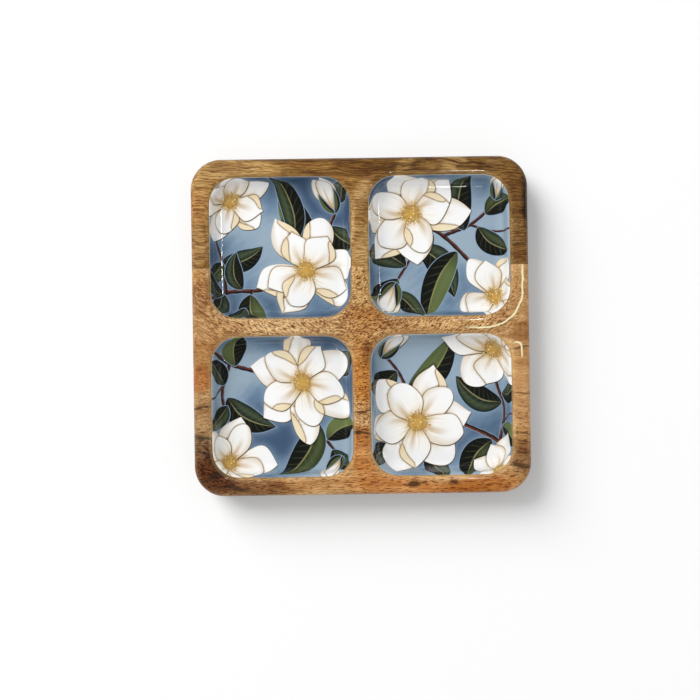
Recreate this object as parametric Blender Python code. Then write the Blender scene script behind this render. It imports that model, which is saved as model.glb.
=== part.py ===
"""Square compartment tray: two edge-glued mango wood boards with four routed pockets.

Each pocket holds a printed lining, and a clear resin coat poured over it.
Lengths are in metres. X runs to the right, Y to the rear and Z up, with the origin
under the middle of the tray, on the surface that it stands on.
"""

import math

import bmesh
import bpy

# Tray blank
TRAY_WIDTH = 0.250
TRAY_DEPTH = 0.250
TRAY_HEIGHT = 0.025
OUTER_CORNER_RADIUS = 0.0224
TOP_EDGE_RADIUS = 0.005
FOOT_EDGE_RADIUS = 0.0035

# Pockets. The lip is the line on a pocket's rounded crest where its print ends.
RIM_WIDTH = 0.0140
DIVIDER_WIDTH = 0.0140
POCKET_DEPTH = 0.017
POCKET_CORNER_RADIUS = 0.0194
POCKET_BOW = 0.0006
CREST_RADIUS = 0.006
FLOOR_FILLET_RADIUS = 0.008
LEAST_CORNER_RADIUS = 0.001
WALL_LEAN = math.radians(10)
LIP_ANGLE = math.radians(50)
MOST_FILLET_SHARE = 0.9

# Boards, edge to edge along X
REAR_BOARD_WIDTH = 0.081
GLUE_LINE = 0.0003

# Layers in each pocket, with the bedding under each one
BEDDING = 0.0003
LINING_THICKNESS = 0.0004
COAT_THICKNESS = 0.0008

# How far a cutter runs past what it cuts
OVERRUN = 0.005

# Steps of the curved surfaces
OUTER_CORNER_STEPS = 8
POCKET_CORNER_STEPS = 6
SIDE_STEPS = 2
EDGE_STEPS = 4
CREST_STEPS = 4
FILLET_STEPS = 4
LIP_STEPS = 2

QUARTER_TURN = math.radians(90)

WOOD_ROUGHNESS = 0.45
MATERIALS = {
    "rear_wood": ((0.22, 0.125, 0.045, 1.0), WOOD_ROUGHNESS),
    "front_wood": ((0.43, 0.235, 0.085, 1.0), WOOD_ROUGHNESS),
    "print": ((0.36, 0.38, 0.39, 1.0), 0.6),
    "clear_resin": ((0.80, 0.83, 0.85, 1.0), 0.05),
}

# What follows from the sizes above
SEAM_Y = TRAY_DEPTH / 2 - REAR_BOARD_WIDTH
FLOOR_Z = TRAY_HEIGHT - POCKET_DEPTH
POCKET_HALF_X = (TRAY_WIDTH - 2 * RIM_WIDTH - DIVIDER_WIDTH) / 4
POCKET_HALF_Y = (TRAY_DEPTH - 2 * RIM_WIDTH - DIVIDER_WIDTH) / 4
POCKET_OUT_X = DIVIDER_WIDTH / 2 + POCKET_HALF_X
POCKET_OUT_Y = DIVIDER_WIDTH / 2 + POCKET_HALF_Y
POCKETS = {
    "rear_left": (-POCKET_OUT_X, POCKET_OUT_Y),
    "rear_right": (POCKET_OUT_X, POCKET_OUT_Y),
    "front_left": (-POCKET_OUT_X, -POCKET_OUT_Y),
    "front_right": (POCKET_OUT_X, -POCKET_OUT_Y),
}


def clear_scene():
    for thing in list(bpy.data.objects):
        bpy.data.objects.remove(thing)


def make_material(name):
    colour, roughness = MATERIALS[name]
    material = bpy.data.materials.new(name)
    material.use_nodes = True
    surface = material.node_tree.nodes["Principled BSDF"]
    surface.inputs["Base Color"].default_value = colour
    surface.inputs["Roughness"].default_value = roughness
    surface.inputs["Metallic"].default_value = 0
    return material


def rounded_outline(half_x, half_y, radius, corner_steps, side_steps):
    """A rectangle's outline, counter-clockwise, with round corners and points along its sides."""
    radius = min(max(radius, LEAST_CORNER_RADIUS), half_x, half_y)
    signs = ((1, 1), (-1, 1), (-1, -1), (1, -1))
    corners = []
    for turn, (sign_x, sign_y) in enumerate(signs):
        middle_x = sign_x * (half_x - radius)
        middle_y = sign_y * (half_y - radius)
        corner = []
        for step in range(corner_steps + 1):
            angle = (turn + step / corner_steps) * QUARTER_TURN
            corner.append((middle_x + radius * math.cos(angle), middle_y + radius * math.sin(angle)))
        corners.append(corner)
    points = []
    for corner, following in zip(corners, corners[1:] + corners[:1]):
        points += corner
        (start_x, start_y), (end_x, end_y) = corner[-1], following[0]
        for step in range(1, side_steps):
            share = step / side_steps
            points.append((start_x + (end_x - start_x) * share, start_y + (end_y - start_y) * share))
    return points


def bowed(x, y):
    """A point of a pocket, moved out so that each side of the pocket bulges at its middle."""
    share_x = min(abs(x) / POCKET_HALF_X, 1)
    share_y = min(abs(y) / POCKET_HALF_Y, 1)
    return (
        x * (1 + POCKET_BOW / POCKET_HALF_X * (1 - share_y**2)),
        y * (1 + POCKET_BOW / POCKET_HALF_Y * (1 - share_x**2)),
    )


def pocket_ring(place, inset, height):
    """The outline of a pocket at a height, this far inside the pocket's lip."""
    middle_x, middle_y = place
    outline = rounded_outline(
        POCKET_HALF_X - inset,
        POCKET_HALF_Y - inset,
        POCKET_CORNER_RADIUS - inset,
        POCKET_CORNER_STEPS,
        SIDE_STEPS,
    )
    ring = []
    for x, y in outline:
        x, y = bowed(x, y)
        ring.append((middle_x + x, middle_y + y, height))
    return ring


def wall_points(offset):
    """(inset, height) up a pocket's wall, from the floor's edge to the foot of the crest.

    offset is the distance off the bare wood, square to its surface.
    """
    lean_sin, lean_cos = math.sin(WALL_LEAN), math.cos(WALL_LEAN)
    crest_foot_inset = CREST_RADIUS * (lean_cos - math.sin(LIP_ANGLE))
    crest_foot_z = TRAY_HEIGHT - CREST_RADIUS * (1 - lean_sin)
    room = (crest_foot_z - FLOOR_Z) / (1 - lean_sin)
    fillet = min(FLOOR_FILLET_RADIUS, MOST_FILLET_SHARE * room)
    wall_drop = crest_foot_z - FLOOR_Z - fillet * (1 - lean_sin)
    middle_inset = crest_foot_inset + wall_drop * lean_sin / lean_cos + fillet * lean_cos
    middle_z = FLOOR_Z + fillet
    points = []
    for step in range(FILLET_STEPS + 1):
        angle = QUARTER_TURN - (QUARTER_TURN - WALL_LEAN) * step / FILLET_STEPS
        points.append(
            (
                middle_inset - (fillet - offset) * math.cos(angle),
                middle_z - (fillet - offset) * math.sin(angle),
            )
        )
    return points


def crest_points(offset, last_angle, steps):
    """(inset, height) up a pocket's crest, from the wall to this angle off the upright."""
    middle_inset = -CREST_RADIUS * math.sin(LIP_ANGLE)
    middle_z = TRAY_HEIGHT - CREST_RADIUS
    first_angle = QUARTER_TURN - WALL_LEAN
    points = []
    for step in range(steps + 1):
        angle = first_angle + (last_angle - first_angle) * step / steps
        points.append(
            (
                middle_inset + (CREST_RADIUS + offset) * math.sin(angle),
                middle_z + (CREST_RADIUS + offset) * math.cos(angle),
            )
        )
    return points


def lofted_mesh(name, rings):
    """A closed mesh through rings of as many points each, with its first and last ring filled."""
    mesh = bmesh.new()
    loops = [[mesh.verts.new(point) for point in ring] for ring in rings]
    for lower, upper in zip(loops, loops[1:]):
        edges = []
        for loop in (lower, upper):
            for start, end in zip(loop, loop[1:] + loop[:1]):
                edges.append(mesh.edges.get((start, end)) or mesh.edges.new((start, end)))
        bmesh.ops.bridge_loops(mesh, edges=edges)
    mesh.faces.new(loops[0])
    mesh.faces.new(loops[-1])
    bmesh.ops.recalc_face_normals(mesh, faces=mesh.faces)
    data = bpy.data.meshes.new(name)
    mesh.to_mesh(data)
    mesh.free()
    return data


def add_object(name, data, material=None):
    thing = bpy.data.objects.new(name, data)
    bpy.context.scene.collection.objects.link(thing)
    if material:
        data.materials.append(material)
        data.shade_smooth()
        data.set_sharp_from_angle(angle=math.radians(30))
    return thing


def add_cutter(name, data):
    cutter = add_object(name, data)
    cutter.hide_render = True
    cutter.display_type = "WIRE"
    return cutter


def blank_mesh(name):
    """The whole tray before its pockets, with its top and foot edges rounded."""
    levels = []
    for step in range(EDGE_STEPS + 1):
        angle = QUARTER_TURN * step / EDGE_STEPS
        levels.append((FOOT_EDGE_RADIUS * (1 - math.sin(angle)), FOOT_EDGE_RADIUS * (1 - math.cos(angle))))
    for step in range(EDGE_STEPS + 1):
        angle = QUARTER_TURN * step / EDGE_STEPS
        levels.append(
            (TOP_EDGE_RADIUS * (1 - math.cos(angle)), TRAY_HEIGHT - TOP_EDGE_RADIUS * (1 - math.sin(angle)))
        )
    rings = []
    for inset, height in levels:
        outline = rounded_outline(
            TRAY_WIDTH / 2 - inset,
            TRAY_DEPTH / 2 - inset,
            OUTER_CORNER_RADIUS - inset,
            OUTER_CORNER_STEPS,
            1,
        )
        rings.append([(x, y, height) for x, y in outline])
    return lofted_mesh(name, rings)


def pocket_cutter(pocket):
    """The hollow of one bare pocket, up to the tray's top face and past it."""
    place = POCKETS[pocket]
    levels = wall_points(0) + crest_points(0, 0, CREST_STEPS)
    levels.append((levels[-1][0], TRAY_HEIGHT + OVERRUN))
    rings = [pocket_ring(place, inset, height) for inset, height in levels]
    return add_cutter("pocket_cutter_" + pocket, lofted_mesh("pocket_cutter", rings))


def side_cutter(name, low_y, high_y):
    """A block that takes away the part of the blank that is the other board."""
    half_x = TRAY_WIDTH / 2 + OVERRUN
    outline = ((-half_x, low_y), (half_x, low_y), (half_x, high_y), (-half_x, high_y))
    rings = [[(x, y, z) for x, y in outline] for z in (-OVERRUN, TRAY_HEIGHT + OVERRUN)]
    return add_cutter(name, lofted_mesh(name, rings))


def add_board(name, material, cutters):
    board = add_object(name, blank_mesh(name), material)
    for cutter in cutters:
        cut = board.modifiers.new("cut_" + cutter.name, "BOOLEAN")
        cut.operation = "DIFFERENCE"
        cut.solver = "EXACT"
        cut.object = cutter
    return board


def add_boards():
    """The rear board holds the back of the rear pockets, and the front board all the rest."""
    cutters = {pocket: pocket_cutter(pocket) for pocket in POCKETS}
    far_y = TRAY_DEPTH / 2 + OVERRUN
    all_but_rear = side_cutter("all_but_rear_board", -far_y, SEAM_Y + GLUE_LINE / 2)
    all_but_front = side_cutter("all_but_front_board", SEAM_Y - GLUE_LINE / 2, far_y)
    rear_cutters = [all_but_rear] + [cutters[pocket] for pocket in ("rear_left", "rear_right")]
    add_board("rear_board", make_material("rear_wood"), rear_cutters)
    add_board("front_board", make_material("front_wood"), [all_but_front] + list(cutters.values()))


def add_layer(name, pocket, under, thickness, material):
    """A thin shell that follows a pocket from its floor to its lip, this far off the bare wood."""
    outer = wall_points(under) + crest_points(under, LIP_ANGLE, LIP_STEPS)
    inner = wall_points(under + thickness) + crest_points(under + thickness, LIP_ANGLE, LIP_STEPS)
    levels = outer + inner[::-1]
    rings = [pocket_ring(POCKETS[pocket], inset, height) for inset, height in levels]
    return add_object(f"{name}_{pocket}", lofted_mesh(name, rings), material)


def add_layers():
    lining_under = BEDDING
    coat_under = lining_under + LINING_THICKNESS + BEDDING
    print_material = make_material("print")
    resin_material = make_material("clear_resin")
    for pocket in POCKETS:
        add_layer("printed_lining", pocket, lining_under, LINING_THICKNESS, print_material)
        add_layer("resin_coat", pocket, coat_under, COAT_THICKNESS, resin_material)


def main():
    clear_scene()
    add_boards()
    add_layers()


main()
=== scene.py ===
from math import atan2, cos, hypot, pi, radians, sin, sqrt, tan

import bmesh
import bpy
import numpy as np
from mathutils import Matrix, Vector
from mathutils.geometry import delaunay_2d_cdt
from numpy.linalg import norm


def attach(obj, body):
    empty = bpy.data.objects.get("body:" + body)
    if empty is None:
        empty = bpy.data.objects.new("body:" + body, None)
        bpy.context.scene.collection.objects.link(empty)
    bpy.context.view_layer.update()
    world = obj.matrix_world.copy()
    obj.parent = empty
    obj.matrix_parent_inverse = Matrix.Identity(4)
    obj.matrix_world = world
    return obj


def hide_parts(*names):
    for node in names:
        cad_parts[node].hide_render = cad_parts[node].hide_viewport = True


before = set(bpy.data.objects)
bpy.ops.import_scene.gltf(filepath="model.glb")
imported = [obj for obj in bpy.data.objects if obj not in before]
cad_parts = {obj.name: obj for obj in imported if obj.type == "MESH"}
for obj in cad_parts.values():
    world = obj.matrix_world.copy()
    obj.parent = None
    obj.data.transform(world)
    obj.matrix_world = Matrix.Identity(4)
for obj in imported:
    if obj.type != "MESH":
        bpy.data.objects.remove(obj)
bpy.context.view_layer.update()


# The two mango wood boards, glued edge to edge and sanded as one blank. Its corners and edges are
# rounded over, and the four pockets are then cut into it with a round-nosed router bit, which
# leaves a rounded crest round each pocket. A clear lacquer over it all brings the grain out.
TRAY_SIDE = 0.250
TRAY_HEIGHT = 0.025
OUTER_CORNER = 0.0224
TOP_ROUND = 0.005
FOOT_ROUND = 0.0035
SEAM_Y = 0.044
GLUE_LINE = 0.00006
POCKET_HALF = 0.052
POCKET_MIDDLE = 0.059
POCKET_CORNER = 0.0194
POCKET_BOW = 0.0006
POCKET_FLOOR = 0.008
CREST_ROUND = 0.006
FLOOR_ROUND = 0.008
WALL_LEAN = radians(10)
LIP_ANGLE = radians(50)
CREST_DROP = 0.0016
CREST_REACH = 0.012
CREST_MARGIN = 0.0002
CUTTER_RISE = 0.004
POCKETS = {
    "rear_left": (-POCKET_MIDDLE, POCKET_MIDDLE),
    "rear_right": (POCKET_MIDDLE, POCKET_MIDDLE),
    "front_left": (-POCKET_MIDDLE, -POCKET_MIDDLE),
    "front_right": (POCKET_MIDDLE, -POCKET_MIDDLE),
}


def begin_piece(name):
    """Opens the primitive just added as a new piece, with its place put in its mesh."""
    piece = bpy.context.object
    piece.name = name
    piece.data.name = name
    bpy.ops.object.transform_apply(location=True, rotation=True, scale=True)
    bpy.ops.object.mode_set(mode="EDIT")
    return piece


def pick_edges(piece, wanted):
    """Selects the edges whose two ends pass a test."""
    bpy.ops.mesh.select_mode(type="EDGE")
    bpy.ops.mesh.select_all(action="DESELECT")
    shape = bmesh.from_edit_mesh(piece.data)
    for edge in shape.edges:
        if wanted(edge.verts[0].co, edge.verts[1].co):
            edge.select_set(True)
    bmesh.update_edit_mesh(piece.data)


def choose(*pieces):
    """Selects these pieces alone, or nothing. The last one is the active one."""
    bpy.ops.object.select_all(action="DESELECT")
    for piece in pieces:
        piece.select_set(True)
        bpy.context.view_layer.objects.active = piece


def open_mesh(piece):
    """Opens a piece for editing, with all of it selected."""
    choose(piece)
    bpy.ops.object.mode_set(mode="EDIT")
    bpy.ops.mesh.select_all(action="SELECT")


def apply_modifier(piece, kind, **settings):
    """Gives a piece this modifier, set in this way, and applies it."""
    choose(piece)
    modifier = piece.modifiers.new(kind.lower(), kind)
    for name, value in settings.items():
        setattr(modifier, name, value)
    bpy.ops.object.modifier_apply(modifier=modifier.name)


def rounded_blank():
    """The glued blank, with its corners and its top and foot edges rounded over."""
    choose()
    bpy.ops.mesh.primitive_cube_add(
        size=1, location=(0, 0, TRAY_HEIGHT / 2), scale=(TRAY_SIDE, TRAY_SIDE, TRAY_HEIGHT)
    )
    blank = begin_piece("tray_blank")
    pick_edges(blank, lambda a, b: abs(a.z - b.z) > TRAY_HEIGHT / 2)
    bpy.ops.mesh.bevel(offset=OUTER_CORNER, segments=24, profile=0.5, affect="EDGES")
    for height, radius, steps in ((TRAY_HEIGHT, TOP_ROUND, 10), (0, FOOT_ROUND, 6)):
        pick_edges(blank, lambda a, b: abs(a.z - height) < 1e-6 and abs(b.z - height) < 1e-6)
        bpy.ops.mesh.bevel(offset=radius, segments=steps, profile=0.5, affect="EDGES")
    bpy.ops.object.mode_set(mode="OBJECT")
    return blank


def pocket_section(gap, top_angle, crest_steps, floor_steps):
    """(inset, height) down a pocket's wall, from its crest to its floor, this far off the wood.

    gap is a length, or a rule that gives the length at an angle on the crest.
    """
    gap_at = gap if callable(gap) else lambda angle: gap
    points = []
    for step in range(crest_steps + 1):
        angle = top_angle + (pi / 2 - WALL_LEAN - top_angle) * step / crest_steps
        reach = CREST_ROUND + gap_at(angle)
        inset = reach * sin(angle) - CREST_ROUND * sin(LIP_ANGLE)
        points.append((inset, TRAY_HEIGHT - CREST_ROUND + reach * cos(angle)))
    foot_z = TRAY_HEIGHT - CREST_ROUND * (1 - sin(WALL_LEAN))
    wall_drop = foot_z - POCKET_FLOOR - FLOOR_ROUND * (1 - sin(WALL_LEAN))
    middle = CREST_ROUND * (cos(WALL_LEAN) - sin(LIP_ANGLE))
    middle += wall_drop * tan(WALL_LEAN) + FLOOR_ROUND * cos(WALL_LEAN)
    reach = FLOOR_ROUND - gap_at(pi / 2)
    for step in range(floor_steps + 1):
        angle = WALL_LEAN + (pi / 2 - WALL_LEAN) * step / floor_steps
        height = POCKET_FLOOR + FLOOR_ROUND - reach * sin(angle)
        points.append((middle - reach * cos(angle), height))
    return points


def bowed(places):
    """Places in a pocket about its middle, with the pocket's sides bulged out a little."""
    share = np.minimum(np.abs(places) / POCKET_HALF, 1)
    return places * (1 + POCKET_BOW / POCKET_HALF * (1 - share[..., ::-1] ** 2))


def pocket_form(name, section):
    """A pocket's surface about the origin: a rounded square, inset down its section."""
    inset, height = section[0]
    choose()
    bpy.ops.mesh.primitive_plane_add(size=2 * (POCKET_HALF - inset), location=(0, 0, height))
    form = begin_piece(name)
    bpy.ops.mesh.select_all(action="SELECT")
    bpy.ops.mesh.bevel(offset=POCKET_CORNER - inset, segments=18, profile=0.5, affect="VERTICES")
    pick_edges(form, lambda a, b: (a - b).length > POCKET_HALF)
    bpy.ops.mesh.subdivide(number_cuts=9)
    bpy.ops.mesh.select_mode(type="FACE")
    bpy.ops.mesh.select_all(action="SELECT")
    for following_inset, following_height in section[1:]:
        bpy.ops.mesh.inset(thickness=following_inset - inset, depth=following_height - height)
        inset, height = following_inset, following_height
    bpy.ops.object.mode_set(mode="OBJECT")
    for point in form.data.vertices:
        point.co.xy = bowed(np.array(point.co.xy))
    return form


def new_object(name, data):
    """A new object in the scene, with this mesh, lamp or camera."""
    made = bpy.data.objects.new(name, data)
    bpy.context.scene.collection.objects.link(made)
    return made


def placed_copy(form, name, place):
    """A copy of a form with its own mesh, moved to a place."""
    piece = new_object(name, form.data.copy())
    piece.data.name = name
    piece.data.transform(Matrix.Translation((*place, 0)))
    return piece


def router_path():
    """All four pockets as one solid to take out of the blank."""
    form = pocket_form("router_path", pocket_section(0, 0, 12, 12))
    open_mesh(form)
    bpy.ops.mesh.select_mode(type="EDGE")
    bpy.ops.mesh.region_to_loop()
    bpy.ops.mesh.extrude_edges_move(TRANSFORM_OT_translate={"value": (0, 0, CUTTER_RISE)})
    bpy.ops.mesh.edge_face_add()
    bpy.ops.mesh.select_all(action="SELECT")
    bpy.ops.mesh.normals_make_consistent(inside=False)
    bpy.ops.object.mode_set(mode="OBJECT")
    copies = [placed_copy(form, "router_path_" + pocket, place) for pocket, place in POCKETS.items()]
    bpy.data.objects.remove(form)
    choose(*copies)
    bpy.ops.object.join()
    return bpy.context.object


def cut_board(blank, name, cut_y, keep_rear):
    """A copy of the blank with the other board cut away at the seam."""
    board = placed_copy(blank, name, (0, 0))
    open_mesh(board)
    cut = {"plane_co": (0, cut_y, 0), "plane_no": (0, 1, 0), "use_fill": True}
    bpy.ops.mesh.bisect(**cut, clear_inner=keep_rear, clear_outer=not keep_rear)
    bpy.ops.mesh.select_all(action="SELECT")
    bpy.ops.mesh.normals_make_consistent(inside=False)
    bpy.ops.object.mode_set(mode="OBJECT")
    bpy.ops.object.shade_smooth_by_angle(angle=radians(32))
    apply_modifier(board, "WEIGHTED_NORMAL", keep_sharp=True, weight=100)
    return board


def mark_crests(board):
    """Notes how far each point has dropped into a pocket, for the painted pale sheen on the crest there."""
    note = board.data.attributes.new("crest", "FLOAT", "POINT")
    straight = TRAY_SIDE / 2 - OUTER_CORNER
    for index, point in enumerate(board.data.vertices):
        x, y = abs(point.co.x), abs(point.co.y)
        past_corner = hypot(max(x - straight, 0), max(y - straight, 0))
        low = TRAY_HEIGHT - point.co.z
        inner = past_corner < OUTER_CORNER - TOP_ROUND - CREST_MARGIN
        note.data[index].value = min(low / CREST_DROP, 1) if inner and low < CREST_REACH else 0.0


blank = rounded_blank()
cutter = router_path()
apply_modifier(blank, "BOOLEAN", operation="DIFFERENCE", solver="EXACT", object=cutter)
bpy.data.objects.remove(cutter)
rear_board = cut_board(blank, "rear_mango_board", SEAM_Y + GLUE_LINE / 2, True)
front_board = cut_board(blank, "front_mango_board", SEAM_Y - GLUE_LINE / 2, False)
bpy.data.objects.remove(blank)


def seen(red, green, blue):
    """A colour from 0 to 255 as a screen shows it, in the linear values that a shader takes."""
    return tuple(
        value / 12.92 if value <= 0.04045 else ((value + 0.055) / 1.055) ** 2.4
        for value in (red / 255, green / 255, blue / 255)
    ) + (1.0,)


class Finish:
    """A finish under way: its nodes, and the colour that its stains have built up so far.

    A colour is a socket, or numbers from 0 to 255 as a screen shows it.
    """

    def __init__(self, owner, colour=None):
        self.owner, self.colour = owner, colour
        owner.use_nodes = True
        self.tree = owner.node_tree

    def add(self, kind, inputs=(), output=0, **settings):
        """A new node's output. An input given a socket is joined to it, and any other is set."""
        made = self.tree.nodes.new("ShaderNode" + kind)
        for name, value in settings.items():
            setattr(made, name, value)
        for slot, value in dict(inputs).items():
            if isinstance(value, bpy.types.NodeSocket):
                self.tree.links.new(value, made.inputs[slot])
            else:
                made.inputs[slot].default_value = value
        return made.outputs[output]

    def sum_of(self, operation, *values):
        """A sum on one to three values."""
        return self.add("Math", enumerate(values), operation=operation)

    def times(self, first, second):
        return self.sum_of("MULTIPLY", first, second)

    def moved(self, operation, *places):
        """A sum on one to three places."""
        return self.add("VectorMath", enumerate(places), operation=operation)

    def length_of(self, place):
        return self.add("VectorMath", {0: place}, "Value", operation="LENGTH")

    def axis(self, place, number):
        """One of a place's three numbers."""
        return self.add("SeparateXYZ", {0: place}, number)

    def here(self):
        return self.add("TexCoord", output="Object")

    def note(self, name):
        """A value that the mesh carries from point to point."""
        return self.add("Attribute", output="Fac", attribute_name=name)

    def mixed(self, share, first, second, way="MIX"):
        """The first colour, stained by a share of the second."""
        first, second = (seen(*tint) if isinstance(tint, tuple) else tint for tint in (first, second))
        look = {"data_type": "RGBA", "blend_type": way, "clamp_factor": True}
        return self.add("Mix", {0: share, 6: first, 7: second}, 2, **look)

    def stain(self, share, tint, way="MIX"):
        self.colour = self.mixed(share, self.colour, tint, way)

    def ramp(self, value, low, high, bottom=0, top=1):
        """A value's soft rise from low to high."""
        inputs = enumerate((value, low, high, bottom, top))
        return self.add("MapRange", inputs, interpolation_type="SMOOTHSTEP", clamp=True)

    def turned(self, where, middle, turn, sizes):
        """A place as it lies from a middle, in a turned frame with its own sizes."""
        inputs = {0: where, 1: middle, 2: (0, 0, radians(turn)), 3: sizes}
        return self.add("Mapping", inputs, vector_type="TEXTURE")

    def grain(self, where, stretch, detail=3, roughness=0.55, turn=0, shift=0):
        """Noise, stretched by counts to the metre along X, Y and Z and turned in degrees."""
        sizes = [1 / count for count in stretch]
        turned = self.turned(where, (shift, shift * 0.7, 0), turn, sizes)
        return self.add("TexNoise", {0: turned, 2: 1, 3: detail, 4: roughness})

    def oval(self, where, middle, radii, turn=0):
        """How far out of an oval a place is: 0 at its middle, 1 on its outline."""
        (x, y), (long, wide) = middle, radii
        sizes = (long / 1000, wide / 1000, 10)
        return self.length_of(self.turned(where, (x / 1000, y / 1000, 0), turn, sizes))

    def strayed(self, where, size, amounts):
        """A place moved about a little, so that what follows it is wavy."""
        drift = self.add("TexNoise", {0: where, 2: size, 3: 3}, 1)
        drift = self.moved("SUBTRACT", drift, (0.5, 0.5, 0.5))
        return self.moved("MULTIPLY_ADD", drift, amounts, where)

    def relief(self, strength, depth, height):
        """Fine relief of the surface, this deep in metres."""
        inputs = {"Strength": strength, "Distance": depth, "Height": height}
        return self.add("Bump", inputs)

    def end_with(self, surface):
        """The finished material, with this as its surface."""
        self.tree.links.new(surface, self.tree.nodes["Material Output"].inputs[0])
        return self.owner


def new_finish(name, colour=None):
    """A finish that starts from one plain colour."""
    finish = Finish(bpy.data.materials.new(name), colour)
    finish.tree.nodes.remove(finish.tree.nodes["Principled BSDF"])
    return finish


# half the straight side of the square that a lacquer run follows, half the width of its bead where
# that starts and ends to slope, and the heights over which it fades out down the tray's side
RUN_STRAIGHT = 0.0335
RUN_BEAD = (0.0002, 0.0010)
RUN_FOOT = (0.0205, 0.0215)


def lacquer_runs(finish, here, runs):
    """How far up the bead of a lacquer run a place is."""
    moved, sum_of, ramp = finish.moved, finish.sum_of, finish.ramp
    ridge = 0
    for (middle_x, middle_y), distance, reach_middle, reach_radii in runs:
        place = finish.strayed(here, 90, (0.0026, 0.0026, 0))
        place = moved("SUBTRACT", place, (middle_x / 1000, middle_y / 1000, 0))
        place = moved("SUBTRACT", moved("ABSOLUTE", place), (RUN_STRAIGHT, RUN_STRAIGHT, 1))
        out = finish.length_of(moved("MAXIMUM", place, (0, 0, 0)))
        out = sum_of("ABSOLUTE", sum_of("SUBTRACT", out, distance / 1000))
        reach = ramp(finish.oval(here, reach_middle, reach_radii), 0.75, 1.1, 1, 0)
        ridge = sum_of("MAXIMUM", finish.times(ramp(out, *RUN_BEAD, 1, 0), reach), ridge)
    return finish.times(ridge, ramp(finish.axis(here, 2), *RUN_FOOT))


def lacquered_mango(name, tones, streaks, pores, zones, marks, runs, seed):
    """Mango wood under clear lacquer: streaks, dark pores, the board's own marks, lacquer runs painted pale
    as a highlight, and a painted sheen on the crests.
    """
    deep, body, pale, pore = tones
    finish = new_finish(name, body)
    ramp, stain, sum_of, times = finish.ramp, finish.stain, finish.sum_of, finish.times
    here = finish.here()
    wavy = finish.strayed(here, 17, (0, 0.016, 0.006))
    patchy = finish.strayed(wavy, 95, (0.012, 0.006, 0))

    broad = finish.grain(wavy, (14, 60, 50), shift=seed + 3)
    stain(ramp(broad, 0.38, 0.60), pale)
    clouds = finish.grain(patchy, (36, 80, 60), 2, 0.5, -24, seed + 7)
    stain(ramp(clouds, 0.36, 0.60, 0.55, 0), deep, "MULTIPLY")
    for middle, radii, tint, strength, *turn in zones:
        stain(ramp(finish.oval(patchy, middle, radii, *turn), 0.45, 1.25, strength, 0), tint)
    for number, (stretch, turn, low, high, strength) in enumerate(streaks):
        streak = finish.grain(wavy, (*stretch, 400), 2.5, 0.6, turn, seed + 5 + number)
        stain(ramp(streak, low, high, 0, strength), deep, "MULTIPLY")

    dark = 0
    for number, (stretch, turn, middle, radii, low, high, strength) in enumerate(pores):
        dashes = finish.grain(here, (*stretch, 1100), 1, 0.5, turn, seed + 11 + number)
        share = ramp(finish.oval(patchy, middle, radii), 0.6, 1.3, strength, strength * 0.25)
        dark = sum_of("MAXIMUM", times(ramp(dashes, low, high), share), dark)
    stain(dark, pore, "MULTIPLY")
    fibre = finish.grain(wavy, (120, 1500, 900), roughness=0.7, shift=seed)
    stain(ramp(fibre, 0.35, 0.75, 0, 0.5), body, "MULTIPLY")
    broken = ramp(fibre, 0.28, 0.5, 0.6, 1)
    for middle, radii, tint, strength, *turn in marks:
        share = ramp(finish.oval(patchy, middle, radii, *turn), 0.35, 1.15, strength, 0)
        stain(times(share, broken), tint)
    # painted sheen: the crest round each pocket is lightened towards the pale tone
    stain(ramp(finish.note("crest"), 0.2, 0.8, 0, 0.12), pale)

    ridge = lacquer_runs(finish, here, runs)
    # painted highlight: the bead of each lacquer run is painted pale yellowish white, over its raised relief
    stain(times(ridge, 0.85), (252, 246, 200))
    wood = {
        "Base Color": finish.colour,
        "Roughness": 0.5,
        "Specular IOR Level": 0.15,
        "Normal": finish.relief(0.22, 0.0003, sum_of("MULTIPLY_ADD", dark, -0.6, broad)),
        "Coat Weight": 0.4,
        "Coat Roughness": 0.09,
        "Coat IOR": 1.45,
        "Coat Normal": finish.relief(1, 0.0004, ridge),
    }
    return finish.end_with(finish.add("BsdfPrincipled", wood))


# Tones: the deep, body and pale colours of the wood, and the colour of its pores.
# Streaks: stretch in counts to the metre, turn, low and high of the noise that shows, strength.
# Pores: the same, with the middle and radii of where they are strongest before low and high.
# Zones and marks: middle, radii, colour, strength, any turn. Middles and radii are in millimetres.
REAR_TONES = ((182, 158, 118), (186, 144, 76), (218, 182, 116), (150, 128, 100))
REAR_STREAKS = (
    ((30, 1000), -3, 0.46, 0.62, 0.9),
    ((75, 1500), 3, 0.48, 0.62, 0.65),
    ((14, 110), 1, 0.46, 0.66, 0.6),
)
REAR_PORES = (
    ((160, 1500), -6, (0, 60), (300, 300), 0.54, 0.66, 0.7),
    ((420, 1400), 10, (120, 80), (30, 100), 0.5, 0.66, 0.6),
)
REAR_ZONES = (
    ((60, 120), (80, 10), (112, 76, 16), 0.7),
    ((-25, 120), (40, 9), (162, 118, 50), 0.6),
    ((122, 85), (16, 60), (128, 90, 42), 0.75),
    # painted shade: darker where the rear board's right edge rounds over
    ((125, 98), (5.5, 34), (50, 30, 12), 0.85),
    # painted reflection: a pale gloss patch on the rear rim's left end
    ((-92, 116), (26, 9), (206, 168, 112), 0.6, -8),
    ((-121, 90), (12, 16), (204, 144, 82), 0.55),
    ((-119, 60), (12, 12), (222, 182, 126), 0.5),
    ((5, 98), (11, 22), (142, 95, 35), 0.8),
    # painted reflection: the next two are pale gloss patches on the rear divider's top
    ((3, 102), (8, 12), (238, 202, 142), 0.6, -20),
    ((-5, 77), (3.5, 14), (238, 202, 142), 0.6, -6),
    ((4, 60), (13, 16), (240, 204, 142), 0.75),
    ((34, 120.5), (6, 12), (204, 170, 108), 0.75, -20),
    ((70, 119), (6, 13), (196, 162, 104), 0.75, -38),
    ((98, 119), (5, 13), (176, 142, 90), 0.6, -38),
)
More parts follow.
